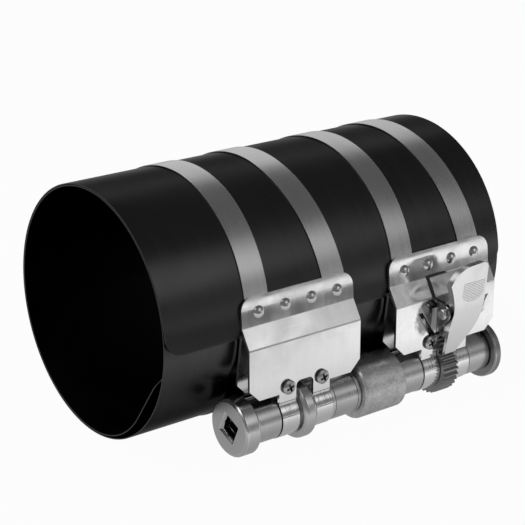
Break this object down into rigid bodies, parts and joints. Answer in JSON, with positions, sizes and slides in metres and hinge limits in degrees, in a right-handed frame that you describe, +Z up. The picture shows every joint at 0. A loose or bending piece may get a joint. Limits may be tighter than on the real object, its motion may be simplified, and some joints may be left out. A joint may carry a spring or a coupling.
{
  "type": "piston ring compressor",
  "caption": "Ratchet piston ring compressor: wound blued-steel sleeve, tension bands, riveted brackets, square-drive spool and thumb pawl.",
  "frame": {"origin": "on the sleeve's axis, in the plane of the near end, the end beside the square drive", "axes": "+X along the sleeve's axis from the drive end to the far end, +Z up, brackets and spool on the -Y side"},
  "size_m": [0.1524, 0.1079, 0.0915],
  "materials": {
    "blued_sleeve": "semi-gloss black blued spring steel",
    "band_steel": "satin spring steel",
    "plated_bracket": "bright zinc-nickel plate with fine handling marks",
    "rivet_steel": "bright plated steel",
    "screw_steel": "dull zinc plate",
    "turned_steel": "fine turned steel",
    "rough_collar": "rough unpolished steel",
    "pawl_steel": "bright plated pressing",
    "spring_wire": "dark oiled spring wire"
  },
  "bodies": {
    "root": {"sleeve": "blued_sleeve", "band_1": "band_steel", "band_2": "band_steel", "band_3": "band_steel", "band_4": "band_steel", "left_bracket": "plated_bracket", "left_bracket_rivets": "rivet_steel", "left_clamp_screws": "screw_steel", "left_clamp_nuts": "screw_steel", "right_bracket": "plated_bracket", "right_bracket_rivets": "rivet_steel", "right_clamp_screws": "screw_steel", "right_clamp_nuts": "screw_steel", "pawl_pin": "rivet_steel", "pawl_spring": "spring_wire"},
    "spool": {"spool_shaft": "turned_steel", "drive_head": "turned_steel", "ring_collar": "turned_steel", "centre_collar": "rough_collar", "end_flange": "turned_steel", "ratchet_wheel": "turned_steel", "band_coil_1": "band_steel", "band_coil_2": "band_steel", "band_coil_3": "band_steel", "band_coil_4": "band_steel"},
    "pawl": {"ratchet_pawl": "pawl_steel"}
  },
  "joints": [
    {"name": "spool_turn", "type": "hinge", "parent": "root", "child": "spool", "pos_m": [0.025, -0.045, -0.0346], "axis": [1, 0, 0], "range_deg": [-1980, 36]},
    {"name": "pawl_release", "type": "hinge", "parent": "root", "child": "pawl", "pos_m": [0.12435, -0.055, -0.011], "axis": [-1, 0, 0], "range_deg": [-4.6, 15], "stiffness_Nm_per_rad": 0.02}
  ]
}
